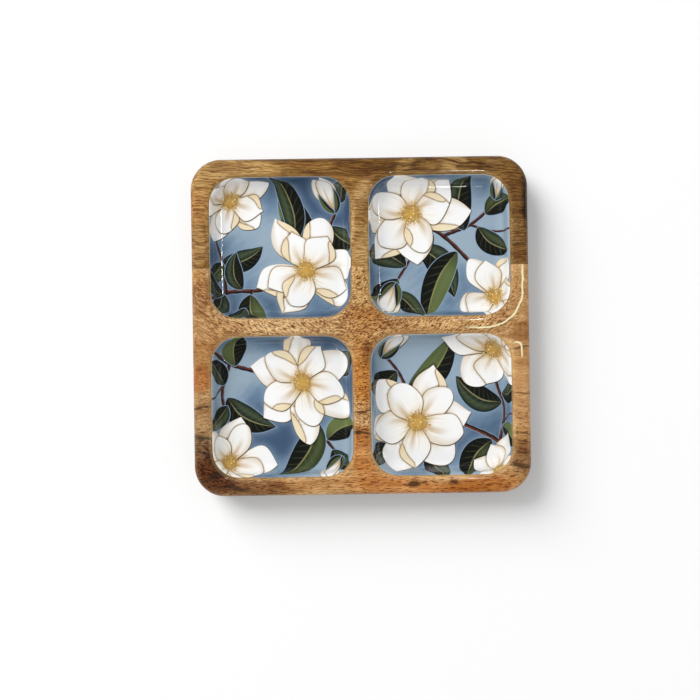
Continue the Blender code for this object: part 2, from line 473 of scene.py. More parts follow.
REAR_MARKS = (
    ((30, 119.5), (34, 0.9), (60, 36, 14), 0.7, 3),
    ((-35, 116.5), (30, 0.8), (74, 46, 18), 0.6, -2),
    ((85, 118.5), (26, 1), (52, 32, 14), 0.7, -3),
    ((119, 60), (12, 1.2), (52, 34, 18), 0.4),
    ((119, 92), (12, 1), (52, 34, 18), 0.3),
    ((-119, 52), (12, 1), (104, 72, 40), 0.5),
    # darker band where the rear edge rounds over: partly dark grain, partly painted shade
    ((0, 124.5), (130, 2.2), (70, 44, 18), 0.55),
)
FRONT_TONES = ((206, 178, 140), (225, 181, 117), (253, 218, 160), (120, 79, 36))
FRONT_STREAKS = (((24, 150), 0, 0.46, 0.64, 0.45), ((70, 1200), 0, 0.48, 0.62, 0.6))
FRONT_PORES = (
    ((400, 1600), -34, (-64, 18), (66, 40), 0.48, 0.575, 0.95),
    ((170, 2000), -38, (-120, 14), (24, 44), 0.49, 0.61, 0.8),
    ((400, 1600), 34, (66, 18), (60, 40), 0.478, 0.575, 0.95),
    ((700, 1900), 20, (121, 12), (22, 45), 0.49, 0.62, 0.6),
    ((460, 1600), 22, (4, 14), (34, 40), 0.475, 0.57, 0.95),
    ((260, 1600), 3, (0, -100), (200, 60), 0.51, 0.65, 0.9),
    ((420, 1500), 8, (-119, -44), (20, 26), 0.49, 0.64, 0.7),
    ((520, 1600), 0, (0, -50), (14, 36), 0.48, 0.59, 0.95),
    ((420, 900), -24, (-112, -106), (22, 24), 0.5, 0.6, 0.9),
)
FRONT_ZONES = (
    ((-122, 36), (10, 8), (240, 194, 124), 0.6),
    ((-121, 18), (12, 12), (164, 110, 58), 0.3),
    ((-119, -38), (10, 11), (196, 110, 36), 0.6),
    ((-119, -72), (12, 26), (200, 170, 124), 0.75),
    ((-120, -92), (14, 14), (124, 92, 60), 0.7),
    ((-108, -108), (20, 18), (106, 58, 18), 0.92),
    ((-84, -119), (34, 8), (118, 70, 34), 0.7),
    ((30, -119), (50, 9), (232, 152, 66), 0.6),
    ((85, -119), (34, 9), (196, 114, 4), 0.85),
    ((0, -36), (12, 26), (238, 162, 58), 0.75),
    ((4, -22), (6, 8), (132, 72, 24), 0.6),
    ((0, -95), (10, 24), (230, 150, 62), 0.6),
    ((0, 30), (12, 18), (255, 220, 150), 0.95),
    ((2, 4), (20, 14), (226, 166, 80), 0.6),
    ((-60, 1), (52, 11), (255, 224, 170), 0.75),
    ((62, 2), (50, 12), (252, 214, 152), 0.65),
    ((119, 28), (10, 12), (238, 198, 136), 0.5),
    ((119, -46), (12, 30), (200, 146, 92), 0.5),
    ((-112, -5), (18, 9), (244, 204, 146), 0.6),
    ((120, -6), (12, 10), (168, 110, 46), 0.65),
    ((119, -100), (10, 16), (134, 84, 40), 0.75),
)
FRONT_MARKS = (
    ((-119, -61.5), (12, 1.1), (60, 38, 22), 0.85, 4),
    ((-118, -84), (12, 2.2), (46, 32, 22), 0.8, -8),
    ((-115, -96), (12, 1.8), (42, 28, 20), 0.8, -14),
    ((-108, -108), (12, 3), (42, 28, 18), 0.85, 18),
    ((-96, -118), (18, 2.2), (54, 34, 20), 0.8, -4),
    ((38.5, -115.2), (8, 3.4), (66, 36, 14), 0.95, 12),
    ((67, -114), (6, 2.4), (72, 40, 16), 0.9, -10),
    ((119, -19), (11, 1.4), (92, 54, 26), 0.75, 3),
    ((119, -53), (11, 1), (94, 56, 28), 0.7, -3),
    ((119, -81), (11, 1.1), (78, 46, 22), 0.75, 2),
    ((119, -87), (11, 0.9), (78, 46, 22), 0.7, -4),
    ((119, -95), (11, 1.2), (70, 42, 22), 0.75, 2),
    ((117, -106), (12, 2.4), (62, 38, 22), 0.8, -6),
    ((4, -14), (4.2, 1.6), (88, 50, 22), 0.8),
    ((0, -62), (10, 0.7), (64, 34, 16), 0.9, 6),
    ((0, -79), (10, 1.5), (60, 32, 14), 1, -3),
)
# Lacquer runs: the middle of the square that each follows, its distance from that square, and the
# middle and radii of its reach, in millimetres.
FRONT_RUNS = (
    ((1000 * POCKET_MIDDLE, 1000 * POCKET_MIDDLE), 27.6, (104, 18), (34, 34)),
    ((81.2, -51), 3.8, (116.5, -18.5), (5.2, 7.2)),
)
rear_wood = (REAR_TONES, REAR_STREAKS, REAR_PORES, REAR_ZONES, REAR_MARKS, ())
rear_finish = lacquered_mango("rear_mango_lacquered", *rear_wood, seed=2)
front_wood = (FRONT_TONES, FRONT_STREAKS, FRONT_PORES, FRONT_ZONES, FRONT_MARKS, FRONT_RUNS)
front_finish = lacquered_mango("front_mango_lacquered", *front_wood, seed=9)
for board, finish, node_name, wood_slot in (
    (rear_board, rear_finish, "rear_board", "rear_wood"),
    (front_board, front_finish, "front_board", "front_wood"),
):
    mark_crests(board)
    board.data.materials.clear()
    board.data.materials.append(finish)
    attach(board, "root")
    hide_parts(node_name)


# The printed linings: one thin sheet to a pocket, printed flat with pale blossoms, leaves and
# twigs on slate blue, then pressed down into the pocket and bonded to its floor and wall. Each
# is cut to the pocket's lip, so the pattern runs off its edge.
LINING_TOP = 0.0007
LINING_THICKNESS = 0.0004
PRINT_STEP = 0.002
GROUND_MARGIN = 0.0012
WALL_RINGS = 11
RING_MARGIN = 0.0008
GROUND, PETAL, LEAF, TWIG, GOLD, LINE = range(6)
# how far a shape's painted shade spreads, in millimetres: on the ground, from stamens, from the rest
SHADE_ON_GROUND, SHADE_OF_GOLD, SHADE_OF_PETAL = 4.0, 1.3, 1.9
SHADE_REACH = 9

lining_section = pocket_section(LINING_TOP, LIP_ANGLE, 5, 12)[::-1]
FLOOR_HALF = POCKET_HALF - lining_section[0][0]
FLOOR_CORNER = POCKET_CORNER - lining_section[0][0]
run_out = [0.0]
for (near_inset, near_z), (far_inset, far_z) in zip(lining_section, lining_section[1:]):
    run_out.append(run_out[-1] + hypot(far_inset - near_inset, far_z - near_z))
climb = [(run, lining_section[0][0] - inset, z) for run, (inset, z) in zip(run_out, lining_section)]
climb = np.array(climb)
WALL_RUN = run_out[-1]


def off_floor(flat):
    """How far points of the flat sheet lie past the floor's edge, and the way out from it."""
    excess = np.abs(flat) - (FLOOR_HALF - FLOOR_CORNER)
    out = np.maximum(excess, 0)
    reach = np.hypot(out[:, 0], out[:, 1])
    past = reach + np.minimum(excess.max(axis=1), 0) - FLOOR_CORNER
    way = np.zeros_like(flat)
    corner = reach > 1e-9
    way[corner] = out[corner] / reach[corner, None]
    return past, way * np.sign(flat)


def pressed(flat):
    """Points of the flat sheet once it is pressed into a pocket about the origin."""
    past, way = off_floor(flat)
    run = np.clip(past, 0, WALL_RUN)
    out = np.interp(run, climb[:, 0], climb[:, 1])
    height = np.interp(run, climb[:, 0], climb[:, 2])
    moved = flat + way * np.where(past > 0, out - past, 0)[:, None]
    return np.column_stack([bowed(moved), height])


def sheet_ring(past):
    """The outline of the flat sheet this far past the floor's edge."""
    radius = FLOOR_CORNER + past
    straight = FLOOR_HALF - FLOOR_CORNER
    turns = max(8, round(radius * pi / 2 / PRINT_STEP))
    ring = []
    for quarter, (side_x, side_y) in enumerate(((1, 1), (-1, 1), (-1, -1), (1, -1))):
        for angle in (quarter + np.arange(turns + 1) / turns) * pi / 2:
            x, y = side_x * straight + radius * cos(angle), side_y * straight + radius * sin(angle)
            ring.append((x, y))
        start = ring[-1]
        ahead = ((-1, 0), (0, -1), (1, 0), (0, 1))[quarter]
        steps = round(2 * straight / PRINT_STEP)
        for step in range(1, steps):
            run = 2 * straight * step / steps
            ring.append((start[0] + ahead[0] * run, start[1] + ahead[1] * run))
    return ring


def smooth_line(points, count):
    """A smooth curve through a few points."""
    points = np.array(points, float)
    ends = [2 * points[0] - points[1], *points, 2 * points[-1] - points[-2]]
    line = []
    for place in (1 - np.cos(np.linspace(0, pi, count))) / 2 * (len(points) - 1):
        first = min(int(place), len(points) - 2)
        share = place - first
        before, start, end, after = ends[first : first + 4]
        straight = 2 * start + (end - before) * share
        curve = (2 * before - 5 * start + 4 * end - after) * share**2
        line.append(0.5 * (straight + curve + (3 * start - before - 3 * end + after) * share**3))
    return np.array(line)


def strokes(spine, halves):
    """The two sides of a painted shape with these half widths along its spine."""
    ahead = np.gradient(spine, axis=0)
    ahead /= norm(ahead, axis=1)[:, None]
    side = np.column_stack([-ahead[:, 1], ahead[:, 0]])
    return spine + side * halves[:, None], spine - side * halves[:, None]


def nearest(points, start, run):
    """How far along each line each point's nearest place on it lies, and the way from there."""
    share = ((points[:, None] - start) * run).sum(axis=2)
    share = np.clip(share / np.maximum((run**2).sum(axis=1), 1e-12), 0, 1)
    return share, points[:, None] - (start + share[..., None] * run)


class Shape:
    """One painted shape on the flat sheet, between its left and right sides, in millimetres."""

    def __init__(self, kind, left, right, tint):
        self.kind, self.tint = kind, tint
        self.middle = (left + right) / 2
        self.half = np.maximum(norm(left - right, axis=1) / 2, 0.05)
        self.left, self.right = left, right
        inner = right[::-1]
        if norm(left[-1] - inner[0]) < 0.02:
            inner = inner[1:]
        if norm(left[0] - inner[-1]) < 0.02:
            inner = inner[:-1]
        outline = np.vstack([left, inner])
        x, y = outline[:, 0], outline[:, 1]
        if (x * np.roll(y, -1) - y * np.roll(x, -1)).sum() < 0:
            outline = outline[::-1]
        self.outline = outline

    def bordered(self, width, tint, shift=(0, 0)):
        """The thin contour round the shape, thicker on the side that it is shifted to."""
        outline = self.outline
        ahead = np.roll(outline, -1, axis=0) - np.roll(outline, 1, axis=0)
        ahead /= np.maximum(norm(ahead, axis=1), 1e-9)[:, None]
        line = Shape(LINE, self.left, self.right, tint)
        line.outline = outline + np.column_stack([ahead[:, 1], -ahead[:, 0]]) * width + shift
        return line

    def away(self, points):
        """The distance of points from the outline."""
        run = np.roll(self.outline, -1, axis=0) - self.outline
        return norm(nearest(points, self.outline, run)[1], axis=2).min(axis=1)

    def place_of(self, points):
        """How far along the shape, from 0 to 1, and across it, from -1 to 1, points lie."""
        run = np.diff(self.middle, axis=0)
        share, offset = nearest(points, self.middle[:-1], run)
        gap = norm(offset, axis=2)
        best = gap.argmin(axis=1)
        rows = np.arange(len(points))
        at = best + share[rows, best]
        lengths = np.concatenate([[0], np.cumsum(norm(run, axis=1))])
        along = np.interp(at, np.arange(len(lengths)), lengths) / lengths[-1]
        half = np.interp(at, np.arange(len(self.half)), self.half)
        turn = run[best, 0] * offset[rows, best, 1] - run[best, 1] * offset[rows, best, 0]
        return along, np.clip(np.sign(turn) * gap[rows, best] / half, -1.1, 1.1)

    def inner_points(self):
        """Points inside the shape that carry its shading."""
        shares = (-0.86, -0.6, -0.3, 0, 0.3, 0.6, 0.86)
        return np.vstack([(self.middle + (self.left - self.middle) * share)[1:-1:2] for share in shares])


def leaf(base, tip, width, bend, tint):
    """A pointed oval leaf with its light outline."""
    base, tip = np.array(base, float), np.array(tip, float)
    side = np.array([-(tip - base)[1], (tip - base)[0]]) * bend
    spine = smooth_line([base, base * 0.66 + tip * 0.34 + side, base * 0.3 + tip * 0.7 + side * 0.8, tip], 26)
    share = (1 - np.cos(np.linspace(0, 1, 26) * pi)) / 2
    halves = width / 2 * np.sin(pi * share**0.82) ** 0.85 * (1 - 0.22 * share)
    shape = Shape(LEAF, *strokes(spine, halves), tint)
    return [shape.bordered(0.45, 0.9), shape]


def twig(points, thick, thin):
    """A woody twig that thins towards its end."""
    spine = smooth_line(points, 12 * len(points))
    halves = np.linspace(thick, thin, len(spine)) / 2
    halves = halves * (1 + 0.12 * np.sin(np.arange(len(spine)) * 1.9))
    shape = Shape(TWIG, *strokes(spine, halves), 0.3)
    return [shape.bordered(0.35, 0.9), shape]


def petal(foot, angle, length, width, bend, tint, view, tip):
    """A broad petal in its blossom's view, with its contour. A high tip is pointed."""
    share = (1 - np.cos(np.linspace(0, pi, 30))) / 2
    ahead = np.array([cos(angle), sin(angle)])
    side = np.array([-ahead[1], ahead[0]])
    curl = bend * length * (share**2 - 0.25 * share)
    spine = ahead * (share * length)[:, None] + side * curl[:, None]
    halves = width / 2 * np.sin(pi * share**1.3) ** (0.6 + (tip - 0.6) * share)
    halves = np.maximum(halves, width * 0.09 * (1 - share) ** 2)
    left = strokes(spine, halves * (1 + 0.07 * np.sin(share * 9 + tint * 40)))[0]
    right = strokes(spine, halves * (1 + 0.07 * np.sin(share * 8 + tint * 70)))[1]
    shape = Shape(PETAL, left @ view.T + foot, right @ view.T + foot, tint)
    return [shape.bordered(0.24, 0.35, (0.23, -0.34)), shape]


def turned_edge(petal_shape, side, start, end, width, tint):
    """The narrow strip along a petal's side where its edge turns over."""
    count = len(petal_shape.middle)
    low, high = int(start * count), int(end * count)
    edge = (petal_shape.left if side > 0 else petal_shape.right)[low:high]
    middle = petal_shape.middle[low:high]
    inward = middle - edge
    inward /= np.maximum(norm(inward, axis=1), 1e-6)[:, None]
    swell = np.sin(np.linspace(0, pi, len(edge))) ** 0.8
    inner = edge + inward * np.minimum(swell * width, petal_shape.half[low:high] * 0.9)[:, None]
    return Shape(PETAL, edge, inner, tint)


def disc(middle, radius, view, tint, corners):
    """A round spot of gold paint."""
    angle = np.linspace(0, pi, corners // 2 + 1)
    upper = np.column_stack([-np.cos(angle), np.sin(angle)]) * radius
    return Shape(GOLD, upper @ view.T + middle, (upper * (1, -1)) @ view.T + middle, tint)


def tilted(turn, squash):
    """The view of a blossom that faces away, squashed along one direction."""
    spin = np.array([[cos(turn), -sin(turn)], [sin(turn), cos(turn)]])
    return spin @ np.diag([1, squash]) @ spin.T


STAMENS = 54
STAMEN_TURN = 2.4


def stamen_end(view, reach, number, stray):
    """Where a stamen ends: each is turned on from the last and stands a little further out."""
    way = np.array([cos(number * STAMEN_TURN), sin(number * STAMEN_TURN)])
    return view @ way * reach * (0.03 + 0.19 * sqrt((number + stray) / STAMENS))


def blossom(dice, middle, reach, petals, start, turn, squash):
    """An open blossom: two rings of petals round a heart of golden stamens."""
    view = tilted(turn, squash)
    middle = np.array(middle, float)
    painted = []
    rings = ((petals, 1.0, 0.62, 0.0), (petals - 1, 0.78, 0.56, 0.5))
    for count, length_share, width_share, offset in rings:
        for number in dice.permutation(count):
            angle = start + (number + offset + dice.uniform(-0.18, 0.18)) * 2 * pi / count
            length = reach * length_share * dice.uniform(0.88, 1.1)
            width = reach * width_share * dice.uniform(0.85, 1.12)
            tip = dice.choice([0.5, 0.65, 1.0, 1.25])
            bend, tint = dice.uniform(-0.2, 0.2), dice.uniform(0, 0.45)
            shapes = petal(middle, angle, length, width, bend, tint, view, tip)
            painted += shapes
            if dice.uniform() < 0.45:
                low = dice.uniform(0.34, 0.5)
                side = dice.choice([-1, 1])
                high = low + dice.uniform(0.3, 0.45)
                painted.append(turned_edge(shapes[1], side, low, high, reach * 0.12, 0.75))
    painted.append(disc(middle, reach * 0.15, view, 0.35, 20))
    for number in range(STAMENS):
        out = stamen_end(view, reach, number, dice.uniform(0.2, 0.8))
        if number >= STAMENS / 2:
            stem = smooth_line([middle + out * 0.4, middle + out * 0.7, middle + out], 4)
            painted.append(Shape(GOLD, *strokes(stem, np.full(4, 0.2)), 0.5))
    for number in dice.permutation(STAMENS):
        spot = middle + stamen_end(view, reach, number, 0.5)
        painted.append(disc(spot, dice.uniform(0.55, 0.9), np.eye(2), dice.uniform(0.3, 1.0), 8))
    return painted


def bud(foot, tip, width):
    """A closed bud of three wrapped petals in two green sepals."""
    foot, tip = np.array(foot, float), np.array(tip, float)
    length = norm(tip - foot)
    angle = atan2(*(tip - foot)[::-1])
    painted = []
    for spread, tint, share in ((0.26, 0.4, 0.94), (-0.24, 0.1, 0.97), (0.02, 0.3, 0.86)):
        size = (length * share, width * 0.62)
        painted += petal(foot, angle + spread, *size, -spread * 0.9, tint, np.eye(2), 0.9)
    side = np.array([-sin(angle), cos(angle)])
    ahead = np.array([cos(angle), sin(angle)])
    for sign in (1, -1):
        end = foot + ahead * length * 0.46 + side * sign * width * 0.34
        painted += leaf(foot - ahead * length * 0.06, end, width * 0.26, 0.10 * sign, 0.7)
    return painted


# Each pocket's own picture, in millimetres from its middle: a seed, then twigs (points, thick end,
# thin end), leaves (foot, tip, width, bend, tint), blossoms (middle, reach, petals, first petal's
# turn, turn and squash of the view) and buds (foot, tip, width).
PICTURES = {
    "rear_left": (
        5,
        (
            (((-64, -40), (-40, -32), (-14, -30), (8, -18)), 3.6, 2.4),
            (((-42, -32), (-44, -10), (-50, 10), (-46, 30)), 2.64, 1.92),
            (((16, -4), (34, 14), (42, 30), (48, 46)), 2.88, 1.92),
            (((34, 14), (46, 12), (62, 22)), 2.04, 1.2),
            (((-22, -30), (-28, -46), (-42, -64)), 2.28, 1.44),
        ),
        (
            ((-44, -33), (-66, -58), 20, 0.12, 0.2),
            ((-24, -34), (-10, -66), 22, -0.14, 0.7),
            ((-28, -44), (-46, -66), 15, 0.1, 0.4),
            ((-44, -10), (-68, -22), 17, 0.14, 0.5),
            ((-44, -8), (-14, 2), 18, -0.16, 0.15),
            ((36, 16), (66, 2), 20, -0.14, 0.3),
            ((26, 8), (2, 50), 23, 0.12, 0.9),
            ((44, 34), (64, 56), 19, 0.14, 0.15),
            ((10, 4), (-8, 62), 18, -0.1, 0.35),
            ((-30, -30), (-34, -2), 15, 0.14, 0.1),
            ((-44, -34), (-66, -14), 15, 0.12, 0.2),
        ),
        (((-38, 36), 36, 5, 0.5, 0.7, 0.84), ((18, -16), 43, 6, 0.2, 2.6, 0.88)),
        (((40, 28), (27, 60), 18),),
    ),
    "rear_right": (
        12,
        (
            (((-62, 20), (-40, 14), (-16, 18), (4, 8), (26, -14), (46, -36)), 3.6, 2.4),
            (((4, 8), (24, 16), (38, 28), (45, 42)), 2.76, 1.8),
            (((-6, 14), (-20, -8), (-34, -30)), 2.76, 1.8),
            (((24, 16), (42, 11), (62, 12)), 2.04, 1.2),
        ),
        (
            ((-14, 0), (12, -38), 23, 0.12, 0.3),
            ((14, -4), (-10, -60), 22, -0.08, 0.8),
            ((20, 12), (24, 60), 22, 0.12, 0.15),
            ((36, 24), (66, 34), 18, 0.14, 0.6),
            ((30, 14), (58, -4), 18, -0.14, 0.35),
            ((-24, -14), (-64, -6), 20, -0.12, 0.2),
            ((-30, -24), (-64, -40), 18, 0.12, 0.9),
            ((-34, -34), (-12, -62), 16, 0.1, 0.4),
        ),
        (((42, -38), 37, 5, 1, 2.2, 0.84), ((-20, 25), 43, 6, 0.9, 0.5, 0.9)),
        (((-33, -28), (-45, -58), 21), ((44, 36), (52, 62), 16)),
    ),
    "front_left": (
        21,
        (
            (((-62, 48), (-40, 32), (-22, 26), (-2, 20)), 3.6, 2.4),
            (((-40, 32), (-46, 8), (-40, -14), (-42, -34)), 2.76, 1.92),
            (((20, -2), (30, -24), (46, -44)), 2.76, 1.8),
            (((-44, 16), (-54, 8), (-66, 6)), 2.04, 1.2),
        ),
        (
            ((-36, 30), (-28, 64), 21, 0.12, 0.8),
            ((-44, 16), (-66, 34), 18, -0.12, 0.3),
            ((-42, 6), (-6, -16), 21, -0.14, 0.15),
            ((24, -12), (-4, -58), 24, 0.12, 0.5),
            ((32, -26), (64, -14), 20, 0.12, 0.9),
            ((34, 28), (64, 46), 21, -0.12, 0.25),
            ((36, -34), (62, -52), 17, -0.12, 0.2),
            ((-42, 0), (-66, -14), 16, 0.14, 0.4),
        ),
        (((-42, -43), 40, 5, 0.1, 0.9, 0.86), ((14, 17), 44, 6, 0.6, 1.9, 0.88)),
        (((42, -40), (32, -66), 20),),
    ),
    "front_right": (
        34,
        (
            (((64, -54), (44, -30), (22, -18), (2, -10)), 3.6, 2.4),
            (((44, -30), (48, -6), (42, 16), (44, 34)), 2.76, 1.8),
            (((-22, 0), (-30, 22), (-46, 42)), 2.76, 1.8),
            (((47, -14), (56, -8), (66, -8)), 2.04, 1.2),
        ),
        (
            ((38, -28), (18, -64), 22, -0.12, 0.45),
            ((46, -18), (68, -34), 17, 0.1, 0.9),
            ((46, 0), (12, 20), 21, 0.14, 0.2),
            ((-24, 10), (10, 52), 23, -0.12, 0.75),
            ((-32, 24), (-64, 14), 19, 0.12, 0.3),
            ((-36, -34), (-64, -54), 20, -0.12, 0.15),
            ((46, 6), (66, 16), 16, -0.14, 0.35),
            ((-12, -40), (2, -66), 20, 0.1, 0.3),
        ),
        (
            ((46, -56), 34, 5, 1.3, 1.2, 0.8),
            ((40, 40), 40, 5, 0.4, 2.4, 0.86),
            ((-17, -14), 46, 6, 0.1, 0.2, 0.89),
        ),
        (((-43, 36), (-26, 62), 20),),
    ),
}


def painted_sheet(pocket):
    """All the painted shapes of one pocket's sheet, from the lowest to the topmost."""
    seed, twigs, leaves, blossoms, buds = PICTURES[pocket]
    dice = np.random.default_rng(seed)
    painted = [twig(*numbers) for numbers in twigs]
    shapes = [border for border, _ in painted] + [wood for _, wood in painted]
    for numbers in leaves:
        shapes += leaf(*numbers)
    for numbers in blossoms:
        shapes += blossom(dice, *numbers)
    for numbers in buds:
        shapes += bud(*numbers)
    return shapes


def printed_lining(pocket, finishes):
    """A sheet cut to its painted shapes, noted for their shading, and pressed in."""
    shapes = painted_sheet(pocket)
    border = np.array(sheet_ring(WALL_RUN))
    steps = np.arange(-FLOOR_HALF, FLOOR_HALF + 1e-6, PRINT_STEP)
    ground = np.array([(x, y) for x in steps for y in steps])
    ground = ground[off_floor(ground)[0] < -GROUND_MARGIN]
    runs = np.arange(0, WALL_RUN - RING_MARGIN, WALL_RUN / WALL_RINGS)
    rings = np.vstack([sheet_ring(run) for run in runs])
    points = np.vstack([border, ground, rings])
    cuts = [list(range(len(border)))]
    for shape in shapes:
        cuts.append(list(range(len(points), len(points) + len(shape.outline))))
        points = np.vstack([points, shape.outline / 1000])
        if shape.kind in (PETAL, LEAF):
            points = np.vstack([points, shape.inner_points() / 1000])
    points = [Vector(point) for point in points.tolist()]
    corners, _, faces, _, _, sources = delaunay_2d_cdt(points, [], cuts, 0, 1e-7, True)
    flat = np.array([tuple(corner) for corner in corners])
    kept = [(face, max(source)) for face, source in zip(faces, sources) if source and 0 in source]
    triangles = np.array([face for face, _ in kept])
    tops = np.array([top for _, top in kept])

    notes = {name: np.zeros(triangles.size) for name in ("along", "across", "edge", "cover", "tint")}
    notes["rim"] = (WALL_RUN - off_floor(flat)[0])[triangles.ravel()] * 1000
    for top in np.unique(tops):
        rows = np.where(tops == top)[0]
        at = (rows[:, None] * 3 + np.arange(3)).ravel()
        own, back = np.unique(triangles[rows].ravel(), return_inverse=True)
        spots = flat[own] * 1000
        cover = np.zeros(len(own))
        low, high = spots.min(axis=0) - SHADE_REACH, spots.max(axis=0) + SHADE_REACH
        for later in range(top, len(shapes)):
            caster = shapes[later]
            if caster.kind not in (PETAL, LEAF, GOLD) or len(caster.outline) < 16:
                continue
            if (caster.outline.max(axis=0) < low).any() or (caster.outline.min(axis=0) > high).any():
                continue
            fade = SHADE_OF_GOLD if caster.kind == GOLD else SHADE_OF_PETAL
            fade = SHADE_ON_GROUND if top == 0 else fade
            cover = np.maximum(cover, np.exp(-caster.away(spots) / fade))
        notes["cover"][at] = cover[back]
        if top > 0:
            shape = shapes[top - 1]
            along, across = shape.place_of(spots)
            notes["along"][at] = along[back]
            notes["across"][at] = across[back]
            notes["edge"][at] = shape.away(spots)[back]
            notes["tint"][at] = shape.tint

    data = bpy.data.meshes.new("printed_lining_" + pocket)
    data.from_pydata(pressed(flat).tolist(), [], triangles.tolist())
    for finish in finishes:
        data.materials.append(finish)
    kinds = [GROUND] + [shape.kind for shape in shapes]
    data.polygons.foreach_set("material_index", [kinds[top] for top in tops])
    for name, values in notes.items():
        note = data.attributes.new(name, "FLOAT", "CORNER")
        note.data.foreach_set("value", values)
    sheet = new_object("printed_lining_sheet_" + pocket, data)
    data.transform(Matrix.Translation((*POCKETS[pocket], 0)))
    open_mesh(sheet)
    bpy.ops.mesh.delete_loose()
    bpy.ops.object.mode_set(mode="OBJECT")
    apply_modifier(sheet, "SOLIDIFY", thickness=LINING_THICKNESS, offset=-1)
    bpy.ops.object.shade_smooth_by_angle(angle=radians(40))
    return sheet


def printed(ink):
    """The ink on the sheet, smooth and slightly matt, with the sheet's bare cut edge."""
    ink.stain(ink.ramp(ink.note("rim"), 0.05, 0.25, 0.5, 0), (226, 204, 166))
    look = {"Base Color": ink.colour, "Roughness": 0.55, "Specular IOR Level": 0.3}
    return ink.end_with(ink.add("BsdfPrincipled", look))


def ground_ink():
    """Slate blue that lightens in soft pools and round the painted shapes."""
    ink = new_finish("print_slate_blue", (66, 92, 124))
    here = ink.here()
    pools = ink.grain(here, (13, 13, 13), 1, 0.4, shift=4)
    brush = ink.grain(here, (60, 150, 120), 3, 0.6, 35, 1)
    pools = ink.sum_of("MULTIPLY_ADD", ink.axis(here, 1), -0.8, pools)
    depth = ink.sum_of("MULTIPLY_ADD", brush, 0.14, ink.sum_of("SUBTRACT", pools, 0.07))
    ink.stain(ink.ramp(depth, 0.34, 0.50), (112, 140, 166))
    ink.stain(ink.ramp(depth, 0.46, 0.62), (160, 180, 196))
    ink.stain(ink.ramp(ink.note("cover"), 0.1, 1, 0, 0.3), (158, 180, 202))
    return printed(ink)


def petal_ink():
    """Warm white, with a tan fold, a shaded side and shade under other petals."""
    ink = new_finish("print_cream_petal", (255, 250, 240))
    ramp, stain, sum_of, times = ink.ramp, ink.stain, ink.sum_of, ink.times
    along, across, edge, cover, tint = map(ink.note, ("along", "across", "edge", "cover", "tint"))
    lane = ink.add("CombineXYZ", enumerate((along, across, tint)))
    lane = ink.moved("MULTIPLY", lane, (1.6, 7, 37))
    veins = ink.add("TexNoise", {0: lane, 2: 1, 3: 3, 4: 0.6})
    stain(ramp(along, 0.1, 0.8), (255, 255, 255))
    veins = times(ramp(veins, 0.50, 0.74), ramp(along, 0.15, 0.75, 0.8, 0))
    stain(veins, (210, 182, 134))
    side = times(across, ramp(tint, 0.18, 0.26, -1, 1))
    stain(ramp(side, 0.35, 1.15, 0, 0.55), (212, 188, 148))
    fold = sum_of("SUBTRACT", across, sum_of("MULTIPLY_ADD", tint, 2.2, -0.5))
    fold = ramp(sum_of("ABSOLUTE", fold), 0, 0.34, 0.7, 0)
    stain(times(fold, ramp(along, 0.25, 0.8, 1, 0)), (200, 166, 112))
    stain(ramp(along, 0.06, 0.40, 0.85, 0), (208, 164, 92))
    stain(ramp(tint, 0.6, 0.7, 0, 0.8), (244, 224, 182))
    stain(ramp(edge, 0.1, 0.6, 0.4, 0), (240, 216, 168))
    stain(ramp(cover, 0.40, 0.95, 0, 0.85), (182, 148, 100))
    stain(ramp(cover, 0.78, 1, 0, 0.85), (74, 50, 34))
    return printed(ink)


def leaf_ink():
    """Deep green with one half lighter, a pale midrib and side veins."""
    ink = new_finish("print_deep_leaf", (20, 24, 20))
    ramp, stain, sum_of, times = ink.ramp, ink.stain, ink.sum_of, ink.times
    along, across, cover, tint = map(ink.note, ("along", "across", "cover", "tint"))
    hue = ink.mixed(ramp(tint, 0.2, 0.6), (30, 48, 42), (60, 72, 34))
    hue = ink.mixed(ramp(tint, 0.6, 0.9), hue, (112, 128, 72))
    stain(ramp(across, -0.06, 0.06), hue)
    width = sum_of("ABSOLUTE", across)
    slant = sum_of("MULTIPLY_ADD", width, -0.14, along)
    rib = sum_of("ABSOLUTE", sum_of("SINE", times(slant, 30)))
    rib = times(ramp(rib, 0, 0.24, 1, 0), ramp(width, 0.55, 1, 0.6, 0))
    stain(rib, (100, 108, 68))
    sheen = times(ramp(across, 0.15, 0.5), ramp(across, 0.95, 0.5))
    stain(times(sheen, 0.35), (110, 122, 80))
    stain(ramp(width, 0, 0.085, 0.9, 0), (164, 158, 106))
    stain(ramp(along, 0, 0.3, 0.5, 0), (26, 30, 28))
    stain(ramp(cover, 0.35, 0.95, 0, 0.85), (18, 18, 17))
    return printed(ink)


def twig_ink():
    """Dark reddish bark, lighter along one side."""
    ink = new_finish("print_bark_twig", (34, 18, 17))
    knots = ink.grain(ink.here(), (220, 220, 220), 2)
    ink.stain(ink.ramp(ink.note("across"), -0.5, 0.5), (116, 62, 44))
    ink.stain(ink.ramp(knots, 0.45, 0.65, 0, 0.6), (62, 34, 28))
    return printed(ink)


def gold_ink():
    """Stamens in golds from deep to pale."""
    ink = new_finish("print_gold_stamens", (206, 160, 70))
    ink.stain(ink.ramp(ink.note("tint"), 0.25, 0.95), (255, 240, 176))
    ink.stain(ink.ramp(ink.note("edge"), 0, 0.4, 0.7, 0), (150, 100, 34))
    return printed(ink)


def line_ink():
    """Fine contours: near black round petals, and pale blue round leaves and twigs."""
    ink = new_finish("print_fine_line", (34, 25, 22))
    ink.stain(ink.ramp(ink.note("tint"), 0.5, 0.8), (146, 172, 200))
    return printed(ink)


inks = (ground_ink(), petal_ink(), leaf_ink(), twig_ink(), gold_ink(), line_ink())
for pocket in POCKETS:
    lining = printed_lining(pocket, inks)
    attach(lining, "root")
    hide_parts("printed_lining_" + pocket)


